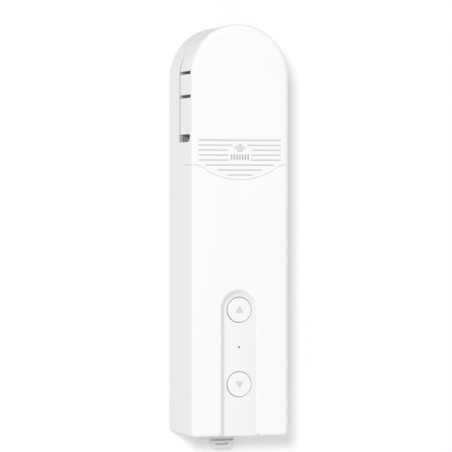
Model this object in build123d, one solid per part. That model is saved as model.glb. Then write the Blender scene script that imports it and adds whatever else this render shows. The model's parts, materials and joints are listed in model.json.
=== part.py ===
from build123d import *

import os
from math import acos, cos, degrees, pi, radians, sin, tan

# Roller shade motor: a slim wall unit that drives a bead chain.
# Everything is drawn in millimetres from the lower front edge of the case: x across, y from the
# front face back to the wall, z up from the case's lower end. Saving a piece moves it so that the
# origin is midway between the wall bracket's two screw holes, on the wall.

# Case
CASE_HEIGHT = 190.5
CASE_WIDTH = 48.0
CASE_DEPTH = 37.0
TOTAL_DEPTH = 40.1
WALL = 1.8
FRONT_WALL = 2.0
FRONT_ROUND = 2.4
REAR_ROUND = 2.0
HALF = CASE_WIDTH / 2
ARCH_Z = CASE_HEIGHT - HALF
INNER_HALF = HALF - WALL
REAR_INNER = CASE_DEPTH - WALL

# Where the shells part
PANEL_DEPTH = 8.8
COVER_DEPTH = 16.2
SHELL_GAP = 1.4
HAIRLINE = 0.1
SEAM_GAP = 0.12
SEAM_Z = 125.5
SEAM_LOW_Z = 118.7
SEAM_RADIUS = 31.4
SEAM_BLEND = 4.0
SLOT_LOW_Z = 136.0
SLOT_HIGH_Z = 139.6
SLOT_FRONT = 1.2
SLIT_HEIGHT = 1.6
SLIT_Z = (168.0, 157.05)
SLIT_FRONT = 0.9
CHAIN_GAP_HALF = 10.5
CHAIN_GAP_FRONT = 6.0
LEDGE_HALF = 20.4
LEDGE = (2.2, 3.5)
LEDGE_BELOW = 4.5
LEDGE_ABOVE = 2.5
COVER_LIP = (14.0, 15.4)
COVER_LIP_Z = (141.5, 154.0)
RIB = (19.8, 20.6)
RIB_FRONT = 12.6
RIB_Z = (142.0, 166.0)
HOOK = 21.4

# Grip lines, arrow and thumb ribs on the cover
GRIP_Z = 136.83
GRIP_PITCH = 2.29
GRIP_WIDTH = 0.7
GRIP_HALF = 19.8
MARK_DEPTH = 0.35
GRIP_INNER = (0.0, 3.45, 5.8, 5.3, 5.3, 0.0, 0.0, 0.0)
GRIP_OUTER = (GRIP_HALF, GRIP_HALF, GRIP_HALF, GRIP_HALF, GRIP_HALF, 16.5, 10.6, 6.0)
ARROW_Z = 135.5
THUMB_Z = 129.1
THUMB_RIBS = 7
THUMB_RIB_PITCH = 1.35
THUMB_RIB_WIDTH = 0.7
THUMB_RIB_HEIGHT = 2.6

# Front panel
CHANNEL_HALF = 9.6
CHANNEL_TOP_Z = 59.1
CHANNEL_DEPTH = 1.2
CHANNEL_LIP = 2.2
CHANNEL_HOLLOW = 3.0
CHANNEL_BACKING = 10.6
UP_Z = 58.45
DOWN_Z = 24.0
LED_Z = 41.2
BUTTON_HOLE = 6.0
BUTTON_RADIUS = 5.75
BUTTON_ROUND = 0.75
BUTTON_FACE = 0.35
BUTTON_TRAVEL = 0.8
FLANGE_RADIUS = 6.9
FLANGE = (3.25, 4.05)
LIGHT_HOLE = 0.55

# Board, its parts and the cells
BOARD_HALF = 16.4
BOARD_Z = (2.4, 74.0)
BOARD_HOLE = (13.4, 71.0)
BOARD_HOLE_RADIUS = 1.2
BOARD_FRONT = 7.6
BOARD_REAR = 8.8
SWITCH_TOP = 5.2
SWITCH_BODY = 6.0
SWITCH_HALF = 3.0
COLLAR = (6.3, 4.7)
COLLAR_FRONT = 5.0
RADIO_X = (-15.6, -8.4)
RADIO_Z = (34.0, 50.0)
CHIP_X = (9.2, 13.2)
CHIP_Z = (38.0, 43.0)
CHIP_LEGS = 4
USB_Y = 5.9
USB_SIZE = (8.94, 3.16)
USB_SHEET = 0.3
USB_Z = (0.8, 8.2)
CELL_RADIUS = 9.0
CELL_LENGTH = 65.0
CELL_X = 9.4
CELL_Y = 18.3
CELL_LOW_Z = 10.0
CELL_HIGH_Z = CELL_LOW_Z + CELL_LENGTH
CELL_TIP = 2.8
HOLDER = (19.9, 18.7)
HOLDER_Y = (11.0, 25.4)
HOLDER_Z = (8.5, 76.8)
HOLDER_ROOM_Z = (9.6, 75.5)
CONTACT_Y = (15.5, 21.0)

# Drive
MOTOR_Z = 97.0
MOTOR_RADIUS = 12.0
MOTOR_FRONT = 5.4
MOTOR_REAR = 25.4
MOTOR_BOSS = 3.1
MOTOR_SCREW_X = 7.0
MOTOR_SHAFT = 1.0
MAGNET = (11.0, 9.7)
CORE_RADIUS = 9.2
CORE = (11.0, 21.0)
CAP_RADIUS = 11.05
MOTOR_PLATE = 1.2
FIRST_PAIR = (12, 36, 0.8)
SECOND_PAIR = (12, 32, 0.9)
THIRD_PAIR = (12, 28, 1.0)
BACKLASH = 0.16
FRONT_PLATE = (17.6, 19.4)
REAR_PLATE = (33.4, REAR_INNER)
PLANE_A = (28.6, 32.6)
PLANE_B = (23.6, 28.0)
PLANE_C = (19.9, 23.2)
FIRST_Z = MOTOR_Z + (FIRST_PAIR[0] + FIRST_PAIR[1]) * FIRST_PAIR[2] / 2
SECOND_Z = FIRST_Z + (SECOND_PAIR[0] + SECOND_PAIR[1]) * SECOND_PAIR[2] / 2
WHEEL_Z = SECOND_Z + (THIRD_PAIR[0] + THIRD_PAIR[1]) * THIRD_PAIR[2] / 2
PIN_RADIUS = 1.5
PIN_REACH = (18.2, 34.6)
COLUMN_RADIUS = 2.1
PLATE_INSET = 0.3
BUSH_RADIUS = 4.6
BUSH_COLLAR = 5.4
SCREW_RADIUS = 1.0
SCREW_HEAD = 1.9
SHAFT_RADIUS = 3.0
BEAD_RADIUS = 2.25
BEAD_PITCH = 6.0
POCKETS = 8
WHEEL_PITCH_RADIUS = POCKETS * BEAD_PITCH / (2 * pi)
WHEEL_RADIUS = WHEEL_PITCH_RADIUS + 1.3
WHEEL = (7.2, 15.6)
GUIDE_RADIUS = WHEEL_PITCH_RADIUS + BEAD_RADIUS + 0.8
GUIDE_PEG = 9.6
GUIDE_FRONT = 8.2
PEG_RADIUS = 0.85

# Bracket, rail and release lever
SCREW_Z = 110.0
SCREW_SPACING = 72.0
SCREW_HOLE = 2.25
SINK_RADIUS = 4.2
SINK_DEPTH = 1.9
BRACKET_HALF = 15.0
BRACKET = (CASE_DEPTH + 0.2, TOTAL_DEPTH)
BRACKET_Z = (8.0, 158.0)
RAIL_Z = (8.0, 58.0)
RAIL_HEAD_HALF = 10.0
RAIL_HEAD = (32.4, 35.2)
RAIL_NECK_HALF = 7.0
RAIL_PLAY = 0.4
RACK_HALF = 4.0
RACK_PITCH = 2.0
RACK_DEPTH = 0.6
RAILWAY_FLOOR = 29.0
RAILWAY_TOP_Z = 70.6
RAILWAY_SKIN = 1.4
TAB_POCKET_Z = 7.6
TAB_POCKET_FRONT = 27.4
LEVER_PIN = (30.6, 40.0)
LEVER_PIN_RADIUS = 0.9
LEVER_PIN_HALF = 11.1
LEVER_FRONT = 30.0
NOSE_HALF = 3.6
SPRING_HALF = 3.0
TAB_HALF = 7.1
TAB_LOW_Z = -7.7
TAB = (29.2, 31.2)
TAB_GROOVES = ((-3.95, 5.7), (-5.95, 3.1))
PAD_Z = ((18.0, 50.0), (96.0, 126.0))
PAD_THICKNESS = 0.8
PAD_HALF = 11.8

# Screws that join the case
TUBE_RADIUS = 3.2
POST_RADIUS = 3.0
POST_FRONT = 3.4
POST_BORE = 1.25
HEAD_SEAT = 17.0
HEAD_WELL = 2.3
THREAD_RADIUS = 1.2
HEAD_RADIUS = 2.1
CASE_SCREW_X = 19.4
CASE_SCREW_Z = (4.6, 112.0)
COLUMNS = ((-13.6, 84.6), (13.6, 84.6), (-17.4, 122.0), (17.4, 122.0), (-12.0, 176.5), (12.0, 176.5))


def save(node, piece):
    """Write one piece, moved so that the origin is the bracket's screw centre on the wall."""
    placed = Pos(0, -TOTAL_DEPTH, -SCREW_Z) * piece
    solids = placed.solids()
    shape = solids[0] if len(solids) == 1 else Compound(children=list(solids))
    shape.label = node
    export_step(shape, f"parts/{node}.step")


def block(x0, x1, y0, y1, z0, z1):
    """Box between two corners."""
    return Pos((x0 + x1) / 2, (y0 + y1) / 2, (z0 + z1) / 2) * Box(x1 - x0, y1 - y0, z1 - z0)


def bar(radius, y0, y1, x=0.0, z=0.0):
    """Round bar that runs from the front towards the wall."""
    return Pos(x, (y0 + y1) / 2, z) * Rot(90, 0, 0) * Cylinder(radius, y1 - y0)


def tube(outer, inner, y0, y1, x=0.0, z=0.0):
    """Round tube that runs from the front towards the wall."""
    return bar(outer, y0, y1, x, z) - bar(inner, y0 - 1, y1 + 1, x, z)


def upright(radius, z0, z1, x, y):
    """Round bar that stands upright."""
    return Pos(x, y, (z0 + z1) / 2) * Cylinder(radius, z1 - z0)


def cross_pin(radius, x0, x1, y, z):
    """Round bar across the case."""
    return Pos((x0 + x1) / 2, y, z) * Rot(0, 90, 0) * Cylinder(radius, x1 - x0)


def slab(face, y0, y1):
    """Flat outline in x and z, given thickness from y0 to y1."""
    return extrude(Plane.XZ.offset(-y0) * face, amount=-(y1 - y0))


def outline(*points):
    """Flat outline from its corners, in x and z."""
    return make_face(Polyline(*points, close=True))


def both_sides(piece):
    """A piece and its mirror image across the middle."""
    return piece + mirror(piece, about=Plane.YZ)


def arch(half, low, top_z=ARCH_Z):
    """Outline of the case: straight sides with a half round top."""
    height = top_z - low
    return Pos(0, low + height / 2) * Rectangle(2 * half, height) + Pos(0, top_z) * Circle(half)


def seam_region(drop=0.0):
    """Outline of all that lies above the line where the cover meets the front panel."""
    above = Pos(0, SEAM_Z + 50) * Rectangle(80, 100)
    smile = Pos(0, SEAM_LOW_Z + SEAM_RADIUS) * Circle(SEAM_RADIUS)
    region = above + smile
    corners = region.vertices().filter_by(lambda v: abs(v.Y - SEAM_Z) < 0.01 and abs(v.X) < 30)
    return Pos(0, -drop) * fillet(corners, SEAM_BLEND)


def case_solid():
    """The outside of the whole case, with its rounded edges."""
    body = slab(arch(HALF, 0), 0, CASE_DEPTH)
    front = body.faces().sort_by(Axis.Y)[0].edges()
    body = fillet([e for e in front if e.center().Z > 1], FRONT_ROUND)
    rear = body.faces().sort_by(Axis.Y)[-1].edges()
    body = fillet([e for e in rear if e.center().Z > 1], REAR_ROUND)
    low = body.faces().sort_by(Axis.Z)[0].edges()
    return fillet(low, REAR_ROUND)


def case_hollow():
    """The room inside the case."""
    room = slab(arch(INNER_HALF, WALL), FRONT_WALL, REAR_INNER)
    front = room.faces().sort_by(Axis.Y)[0].edges()
    return fillet([e for e in front if e.center().Z > WALL + 1], FRONT_ROUND - WALL)


def case_shell():
    """Case wall all round, before it is parted into shells."""
    return case_solid() - case_hollow()


def railway():
    """Room for the bracket's rail and the release lever behind the cells."""
    wide, narrow = RAIL_HEAD_HALF + RAIL_PLAY, RAIL_NECK_HALF + RAIL_PLAY
    behind = RAIL_HEAD[1] + 0.2
    room = block(-wide, wide, RAILWAY_FLOOR, behind, -1, RAILWAY_TOP_Z)
    neck = block(-narrow, narrow, behind - 0.1, CASE_DEPTH + 1, -1, RAILWAY_TOP_Z)
    swing = block(-TAB_HALF - 0.6, TAB_HALF + 0.6, TAB_POCKET_FRONT, RAILWAY_FLOOR + 0.1, -1, TAB_POCKET_Z)
    return room + neck + swing


def rear_housing(shell):
    """Deep rear shell with the rail's channel, screw tubes and the lever's pin holes."""
    behind_cover = block(-40, 40, COVER_DEPTH + SHELL_GAP, 60, SLOT_LOW_Z, 200)
    behind_panel = block(-40, 40, PANEL_DEPTH + HAIRLINE, 60, -5, SLOT_LOW_Z)
    body = shell & (behind_cover + behind_panel)
    side, top = RAIL_HEAD_HALF + RAIL_PLAY + RAILWAY_SKIN, RAILWAY_TOP_Z + RAILWAY_SKIN
    channel = block(-side, side, RAILWAY_FLOOR - RAILWAY_SKIN, REAR_INNER + 0.5, 1, top)
    half = TAB_HALF + 2.1
    pocket = block(-half, half, TAB_POCKET_FRONT - RAILWAY_SKIN, RAILWAY_FLOOR, 1, TAB_POCKET_Z + 0.8)
    body = body + channel + pocket
    for x in (-CASE_SCREW_X, CASE_SCREW_X):
        for z in CASE_SCREW_Z:
            body = body + (bar(TUBE_RADIUS, PANEL_DEPTH + HAIRLINE, REAR_INNER + 0.5, x, z) & case_hollow())
            body = body - bar(HEAD_WELL, HEAD_SEAT, CASE_DEPTH + 1, x, z)
            body = body - bar(THREAD_RADIUS + 0.15, PANEL_DEPTH - 1, HEAD_SEAT + 1, x, z)
    body = body - railway()
    return body - cross_pin(LEVER_PIN_RADIUS + 0.02, -LEVER_PIN_HALF - 0.1, LEVER_PIN_HALF + 0.1, *LEVER_PIN)


def channel_side():
    """The channel's side from its lip to its floor: a round, then a wider hollow one."""
    turn = acos(1 - CHANNEL_DEPTH / (CHANNEL_LIP + CHANNEL_HOLLOW))

    def on_lip(angle):
        """Point of the lip's round, turned by an angle from the panel's face."""
        return CHANNEL_HALF - CHANNEL_LIP * sin(angle), CHANNEL_LIP * (1 - cos(angle))

    bend = on_lip(turn)
    floor_x = bend[0] - CHANNEL_HOLLOW * sin(turn)

    def on_hollow(angle):
        """Point of the hollow round, turned by an angle from the floor."""
        return floor_x + CHANNEL_HOLLOW * sin(angle), CHANNEL_DEPTH - CHANNEL_HOLLOW * (1 - cos(angle))

    lip = ThreePointArc((CHANNEL_HALF, 0), on_lip(turn / 2), bend)
    return lip, ThreePointArc(bend, on_hollow(turn / 2), (floor_x, CHANNEL_DEPTH))


def recess_cut():
    """Shallow channel round the buttons, open at the lower end, its sides rolled over softly."""
    lip, hollow = channel_side()
    rest = Polyline(hollow @ 1, (0, CHANNEL_DEPTH), (0, -2), (CHANNEL_HALF, -2), lip @ 0)
    section = make_face(Wire(lip.edges() + hollow.edges() + rest.edges()))
    dome = revolve(Plane.XY * section, Axis.Y)
    run = extrude(Plane.XY * section, amount=-(CHANNEL_TOP_Z + 5))
    return Pos(0, 0, CHANNEL_TOP_Z) * (dome + run + mirror(run, about=Plane.YZ))


def front_panel(shell):
    """Lower front shell with its recessed channel, button holes and screw posts."""
    region = slab(Pos(0, 100) * Rectangle(80, 220) - seam_region(SEAM_GAP), -1, PANEL_DEPTH)
    body = shell & region
    body = body + block(-CHANNEL_BACKING, CHANNEL_BACKING, FRONT_WALL - 0.5, FRONT_WALL + 1.0, 1, UP_Z + 11)
    width = Pos(0, SEAM_LOW_Z) * Rectangle(2 * LEDGE_HALF, 40)
    ledge = slab((seam_region(LEDGE_BELOW) - seam_region(-LEDGE_ABOVE)) & width, *LEDGE)
    root = slab((seam_region(LEDGE_BELOW) - seam_region(0.6)) & width, LEDGE[0] - 0.5, LEDGE[1])
    body = body + ledge + root
    for x in (-CASE_SCREW_X, CASE_SCREW_X):
        for z in CASE_SCREW_Z:
            body = body + (bar(POST_RADIUS, FRONT_WALL - 0.5, PANEL_DEPTH, x, z) & case_solid())
            body = body - bar(POST_BORE, POST_FRONT, PANEL_DEPTH + 1, x, z)
    body = body - recess_cut()
    for z in (UP_Z, DOWN_Z):
        body = body - bar(BUTTON_HOLE, -1, 6, 0, z)
    body = body - bar(LIGHT_HOLE, -1, 6, 0, LED_Z)
    half, rise = USB_SIZE[0] / 2 + 0.4, USB_SIZE[1] / 2 + 0.2
    return body - block(-half, half, USB_Y - rise, USB_Y + rise, -1, WALL + 1)


def thumb_ribs():
    """Row of short upright strokes below the arrow."""
    middle = (THUMB_RIBS - 1) / 2
    rib = RectangleRounded(THUMB_RIB_WIDTH, THUMB_RIB_HEIGHT, THUMB_RIB_WIDTH * 0.45)
    ribs = [Pos((step - middle) * THUMB_RIB_PITCH, THUMB_Z) * rib for step in range(THUMB_RIBS)]
    return Sketch() + ribs


def arrow_mark():
    """Arrow that points the way the cover slides."""
    head, shaft, wing, foot = ARROW_Z, 1.45, 3.35, ARROW_Z - 4.0
    neck = ARROW_Z - 2.55
    return outline((0, head), (wing, neck), (shaft, neck), (shaft, foot), (-shaft, foot), (-shaft, neck),
                   (-wing, neck))


def cover_marks():
    """Grip lines, arrow and thumb ribs, sunk into the cover's face."""
    marks = arrow_mark() + thumb_ribs()
    for row, (inner, outer) in enumerate(zip(GRIP_INNER, GRIP_OUTER)):
        z = GRIP_Z - row * GRIP_PITCH
        line = Pos(0, z) * Rectangle(2 * outer, GRIP_WIDTH)
        if inner:
            line = line - Pos(0, z) * Rectangle(2 * inner, 2)
        marks = marks + line
    return slab(marks, -1, MARK_DEPTH)


def side_window():
    """Gap in the cover's side wall, its lower front corner rounded."""
    gap = block(HALF - 4, HALF + 1, SLOT_FRONT, COVER_DEPTH + 1, SLOT_LOW_Z, SLOT_HIGH_Z)
    corner = gap.edges().filter_by(Axis.X).sort_by(lambda e: e.center().Y + e.center().Z)[0]
    return fillet(corner, 2.0)


def top_cover(shell):
    """Cover that slides up and off, with vents, chain gap and inner guide lips."""
    deep = slab(Pos(0, 180) * Rectangle(80, 2 * (180 - SLOT_LOW_Z)), -1, COVER_DEPTH)
    lip = slab(seam_region() & (Pos(0, 120) * Rectangle(80, 2 * (SLOT_LOW_Z + 1 - 120))), -1,
               PANEL_DEPTH - HAIRLINE / 2)
    body = shell & (deep + lip)
    body = body - both_sides(side_window())
    for z in SLIT_Z:
        low, high = z - SLIT_HEIGHT / 2, z + SLIT_HEIGHT / 2
        slit = block(HALF - 4, HALF + 1, SLIT_FRONT, COVER_DEPTH + 1, low, high)
        body = body - both_sides(slit)
    body = body - block(-CHAIN_GAP_HALF, CHAIN_GAP_HALF, CHAIN_GAP_FRONT, COVER_DEPTH + 1, ARCH_Z + 10, 200)
    body = body + both_sides(block(RIB[1] + 0.3, INNER_HALF + 0.4, *COVER_LIP, *COVER_LIP_Z))
    return body - cover_marks()


def triangle_mark(z, way):
    """Triangle on a button, pointing up or down."""
    height, half_base = 3.2, 2.0
    base, tip = z - way * height * 0.42, z + way * height * 0.58
    return outline((-half_base, base), (half_base, base), (0, tip))


def button(z, way):
    """Round key with a rolled edge, a flange behind the panel and a post that meets its switch."""
    cap = bar(BUTTON_RADIUS, BUTTON_FACE, 3.6, 0, z)
    rim = cap.edges().sort_by(Axis.Y)[0]
    cap = fillet(rim, BUTTON_ROUND)
    cap = cap + bar(FLANGE_RADIUS, *FLANGE, 0, z) + bar(1.5, 4.0, SWITCH_TOP - BUTTON_TRAVEL - 0.1, 0, z)
    return cap - slab(triangle_mark(z, way), -1, BUTTON_FACE + 0.25)


def button_pad():
    """Rubber collars round the switches, joined by a strip, that send the keys back."""
    pad = block(-5, 5, BOARD_FRONT - 0.7, BOARD_FRONT, DOWN_Z, UP_Z) - bar(2.2, 6, 8, 0, LED_Z)
    for z in (UP_Z, DOWN_Z):
        pad = pad + bar(COLLAR[0], COLLAR_FRONT, BOARD_FRONT, 0, z)
    for z in (UP_Z, DOWN_Z):
        pad = pad - bar(COLLAR[1], COLLAR_FRONT - 1, BOARD_FRONT + 1, 0, z)
    return pad


def main_board():
    """Circuit board behind the keys."""
    board = block(-BOARD_HALF, BOARD_HALF, BOARD_FRONT, BOARD_REAR, *BOARD_Z)
    hole_x, hole_z = BOARD_HOLE
    for x in (-hole_x, hole_x):
        board = board - bar(BOARD_HOLE_RADIUS, BOARD_FRONT - 1, BOARD_REAR + 1, x, hole_z)
    return board


def tact_switches():
    """One press switch behind each key."""
    group = []
    for z in (UP_Z, DOWN_Z):
        case = block(-SWITCH_HALF, SWITCH_HALF, SWITCH_BODY, BOARD_FRONT, z - SWITCH_HALF, z + SWITCH_HALF)
        group.append(case + bar(1.6, SWITCH_TOP, SWITCH_BODY + 0.1, 0, z))
    return Compound(children=group)


def radio_module():
    """Shielded radio module on a small board of its own, with its antenna end clear of the shield."""
    base = block(*RADIO_X, BOARD_FRONT - 0.8, BOARD_FRONT, *RADIO_Z)
    left, right = RADIO_X[0] + 0.4, RADIO_X[1] - 0.4
    low, high = RADIO_Z[0] + 0.4, RADIO_Z[1] - 4.4
    return base + block(left, right, BOARD_FRONT - 2.8, BOARD_FRONT - 0.7, low, high)


def drive_chip():
    """Motor driver chip with its row of legs on both sides."""
    chip = block(*CHIP_X, BOARD_FRONT - 1.4, BOARD_FRONT - 0.1, *CHIP_Z)
    pitch = (CHIP_Z[1] - CHIP_Z[0]) / CHIP_LEGS
    left, right = CHIP_X[0] - 0.8, CHIP_X[1] + 0.8
    for leg in range(CHIP_LEGS):
        z = CHIP_Z[0] + (leg + 0.5) * pitch
        chip = chip + block(left, right, BOARD_FRONT - 0.4, BOARD_FRONT, z - 0.2, z + 0.2)
    return chip


def usb_port():
    """Charging socket: a rounded metal sleeve with its contact tongue."""
    wide, tall = USB_SIZE
    low, high = USB_Z
    sleeve = Pos(0, USB_Y, low) * RectangleRounded(wide, tall, 1.5)
    mouth = Pos(0, USB_Y, 0) * RectangleRounded(wide - 2 * USB_SHEET, tall - 2 * USB_SHEET, 1.5 - USB_SHEET)
    body = extrude(sleeve, high - low) - extrude(mouth, high - 1.4)
    return body + block(-3.3, 3.3, USB_Y - 0.35, USB_Y + 0.35, low + 0.8, high - 1.2)


def status_led():
    """Small lamp on the board."""
    return block(-0.8, 0.8, 6.9, BOARD_FRONT, LED_Z - 0.4, LED_Z + 0.4)


def light_pipe():
    """Clear pin that carries the lamp's light to the panel."""
    return bar(0.5, 1.6, 3.2, 0, LED_Z) + bar(1.3, 3.1, 6.7, 0, LED_Z)


def battery_cells():
    """Two round cells side by side."""
    cells = []
    for side in (-1, 1):
        can = upright(CELL_RADIUS, CELL_LOW_Z, CELL_HIGH_Z - 1, side * CELL_X, CELL_Y)
        ends = can.edges().filter_by(GeomType.CIRCLE)
        tip = upright(CELL_TIP, CELL_HIGH_Z - 1.1, CELL_HIGH_Z, side * CELL_X, CELL_Y)
        cells.append(fillet(ends, 0.6) + tip)
    return Compound(children=cells)


def battery_holder():
    """Open frame round the cells."""
    outer = block(-HOLDER[0], HOLDER[0], *HOLDER_Y, *HOLDER_Z)
    inner = block(-HOLDER[1], HOLDER[1], HOLDER_Y[0] - 1, HOLDER_Y[1] + 1, *HOLDER_ROOM_Z)
    return outer - inner


def battery_contacts():
    """Spring strips at the cells' ends: one bridge below and one strip above each cell."""
    low = block(-14, 14, *CONTACT_Y, HOLDER_ROOM_Z[0], CELL_LOW_Z)
    high = [block(x - 4, x + 4, *CONTACT_Y, CELL_HIGH_Z, HOLDER_ROOM_Z[1]) for x in (-CELL_X, CELL_X)]
    return Compound(children=[low] + high)


def gear_outline(teeth, module, tooth_at):
    """Spur gear outline with one tooth centred at the given angle, in degrees."""
    pitch = module * teeth / 2
    base = pitch * cos(radians(20))
    radii = (pitch - 1.2 * module, max(base, pitch - 0.6 * module), pitch, pitch + 0.45 * module,
             pitch + 0.88 * module)

    def half_angle(radius):
        """Half the tooth's angle at a radius, from the involute of the base circle."""
        lean = acos(min(1.0, base / max(radius, base)))
        at_pitch = tan(radians(20)) - radians(20)
        return pi / (2 * teeth) - BACKLASH / (2 * pitch) + at_pitch - (tan(lean) - lean)

    points = []
    for tooth in range(teeth):
        middle = radians(tooth_at) + 2 * pi * tooth / teeth
        left = [(r, middle - half_angle(r)) for r in radii]
        right = [(r, middle + half_angle(r)) for r in reversed(radii)]
        points += [(r * cos(a), r * sin(a)) for r, a in left + right]
    return outline(*points)


def gear(teeth, module, tooth_at, plane, z):
    """Spur gear on an axis that runs front to back."""
    return slab(Pos(0, z) * gear_outline(teeth, module, tooth_at), *plane)


def gap_angle(teeth):
    """Turn that puts a gap, not a tooth, at the gear's lowest point."""
    return -90 + 180 / teeth


def compound_gear(large, small, large_plane, small_plane, z):
    """Large gear and the small gear moulded on it, bored for its pin."""
    wheel = gear(large[1], large[2], gap_angle(large[1]), large_plane, z)
    pinion = gear(small[0], small[2], 90, small_plane, z)
    low, high = min(large_plane[0], small_plane[0]), max(large_plane[1], small_plane[1])
    between = sorted((*large_plane, *small_plane))[1:3]
    hub = bar(small[2] * 4.4, between[0] - 0.2, between[1] + 0.2, 0, z)
    return wheel + pinion + hub - bar(PIN_RADIUS + 0.06, low - 1, high + 1, 0, z)


def motor_can():
    """Steel can of the motor, closed at the shaft end."""
    can = bar(MOTOR_RADIUS, MOTOR_FRONT, MOTOR_REAR, 0, MOTOR_Z)
    can = fillet(can.edges().sort_by(Axis.Y)[-1], 1.0)
    can = can + bar(MOTOR_BOSS, MOTOR_REAR - 0.5, MOTOR_REAR + 1.1, 0, MOTOR_Z)
    can = can - bar(CAP_RADIUS + 0.05, MOTOR_FRONT - 1, MOTOR_REAR - 1.4, 0, MOTOR_Z)
    for x in (-MOTOR_SCREW_X, MOTOR_SCREW_X):
        can = can - bar(SCREW_RADIUS + 0.05, MOTOR_REAR - 2, MOTOR_REAR + 1, x, MOTOR_Z)
    return can - bar(MOTOR_SHAFT + 0.06, MOTOR_REAR - 3, MOTOR_REAR + 2, 0, MOTOR_Z)


def motor_magnets():
    """Two curved magnets against the can's wall."""
    ring = tube(*MAGNET, 9.0, 22.5, 0, MOTOR_Z)
    gap = block(-3.2, 3.2, 8, 24, MOTOR_Z - 12, MOTOR_Z + 12)
    return ring - gap


def motor_armature():
    """Slotted iron core with its commutator."""
    front, rear = CORE
    core = bar(CORE_RADIUS, front, rear, 0, MOTOR_Z)
    for step in range(3):
        turn = radians(90 + 120 * step)
        x, z = 6.6 * cos(turn), 6.6 * sin(turn)
        core = core - bar(1.7, front - 1, rear + 1, x, MOTOR_Z + z)
        slot = Pos(8, 0, 0) * Box(3.4, rear - front + 2, 1.0)
        core = core - Pos(0, (front + rear) / 2, MOTOR_Z) * Rot(0, -degrees(turn), 0) * slot
    core = core + bar(2.6, front - 2.6, front + 0.1, 0, MOTOR_Z)
    return core - bar(MOTOR_SHAFT + 0.02, front - 4, rear + 1, 0, MOTOR_Z)


def motor_end_cap():
    """Plastic end of the motor with its two terminals."""
    cap = bar(CAP_RADIUS, MOTOR_FRONT, MOTOR_FRONT + 1.8, 0, MOTOR_Z)
    cap = cap + bar(2.6, 4.6, MOTOR_FRONT + 0.1, 0, MOTOR_Z)
    for x in (-6.0, 6.0):
        low, high = MOTOR_Z - 0.25, MOTOR_Z + 0.25
        cap = cap + block(x - 1.2, x + 1.2, MOTOR_FRONT - 2, MOTOR_FRONT + 0.1, low, high)
    return cap - bar(MOTOR_SHAFT + 0.06, MOTOR_FRONT - 0.5, MOTOR_FRONT + 3, 0, MOTOR_Z)


def motor_shaft():
    """Thin steel shaft of the motor."""
    return bar(MOTOR_SHAFT, MOTOR_FRONT - 0.2, PLANE_A[1] + 0.3, 0, MOTOR_Z)


def motor_pinion():
    """Small brass gear on the motor shaft."""
    teeth, _, module = FIRST_PAIR
    return gear(teeth, module, 90, PLANE_A, MOTOR_Z) - bar(MOTOR_SHAFT + 0.02, 27, 34, 0, MOTOR_Z)


def motor_plate():
    """Steel plate that carries the motor between the two lowest columns."""
    front, rear = MOTOR_REAR, MOTOR_REAR + MOTOR_PLATE
    plate = block(-16, 16, front, rear, MOTOR_Z - 15.6, MOTOR_Z + 12.4)
    plate = plate - bar(MOTOR_BOSS + 0.2, front - 1, rear + 1, 0, MOTOR_Z)
    for x in (-MOTOR_SCREW_X, MOTOR_SCREW_X):
        plate = plate - bar(SCREW_RADIUS + 0.3, front - 1, rear + 1, x, MOTOR_Z)
    for x, z in COLUMNS[:2]:
        plate = plate - bar(COLUMN_RADIUS + 0.1, front - 1, rear + 1, x, z)
    return plate


def motor_screws():
    """Two small screws through the plate into the motor."""
    screws = []
    seat = MOTOR_REAR + MOTOR_PLATE
    top = seat + 1.2
    for x in (-MOTOR_SCREW_X, MOTOR_SCREW_X):
        screw = bar(SCREW_RADIUS, MOTOR_REAR - 1.2, seat + 0.1, x, MOTOR_Z)
        screw = screw + bar(SCREW_HEAD, seat, top, x, MOTOR_Z)
        screws.append(screw - block(x - 1.2, x + 1.2, top - 0.5, top + 1, MOTOR_Z - 0.2, MOTOR_Z + 0.2))
    return Compound(children=screws)


def plate_outline(inset):
    """Gearbox plate: wide and arched above, narrow beside the case screws."""
    wide = arch(INNER_HALF - inset, 118.0) - Pos(0, 112) * Rectangle(60, 12.0)
    return wide + Pos(0, 101) * Rectangle(32.4, 40)


def gearbox_front_plate():
    """Front plate of the gearbox, with the cover's guide ribs in front of it."""
    front, rear = FRONT_PLATE[0] - 1, FRONT_PLATE[1] + 1
    plate = slab(plate_outline(PLATE_INSET), *FRONT_PLATE)
    plate = plate - bar(MOTOR_RADIUS + 0.3, front, rear, 0, MOTOR_Z)
    plate = plate - bar(BUSH_RADIUS + 0.02, front, rear, 0, WHEEL_Z)
    for z in (FIRST_Z, SECOND_Z):
        plate = plate - bar(PIN_RADIUS, PIN_REACH[0], rear, 0, z)
    for x, z in COLUMNS:
        plate = plate - bar(SCREW_RADIUS + 0.1, front, rear, x, z)
    for x in (-GUIDE_PEG, GUIDE_PEG):
        plate = plate + bar(PEG_RADIUS, FRONT_PLATE[0] - 1.6, FRONT_PLATE[0] + 0.1, x, WHEEL_Z - GUIDE_PEG)
    rib = block(*RIB, RIB_FRONT, FRONT_PLATE[0] + 0.1, *RIB_Z)
    hook = block(RIB[1] - 0.1, HOOK, RIB_FRONT, RIB_FRONT + 1, *RIB_Z)
    return plate + both_sides(rib + hook)


def gearbox_rear_plate():
    """Rear plate of the gearbox with the columns that hold the front plate."""
    front = REAR_PLATE[0]
    plate = slab(plate_outline(PLATE_INSET), *REAR_PLATE)
    for x, z in COLUMNS:
        plate = plate + bar(COLUMN_RADIUS, FRONT_PLATE[1], front + 0.1, x, z)
        plate = plate - bar(SCREW_RADIUS + 0.02, FRONT_PLATE[1] - 1, FRONT_PLATE[1] + 9, x, z)
    for z in (FIRST_Z, SECOND_Z):
        plate = plate + bar(PIN_RADIUS + 1.1, front - 0.6, front + 0.1, 0, z)
        plate = plate - bar(PIN_RADIUS, front - 1, PIN_REACH[1], 0, z)
    return plate - bar(BUSH_RADIUS + 0.02, front - 1, REAR_PLATE[1] + 1, 0, WHEEL_Z)


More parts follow.
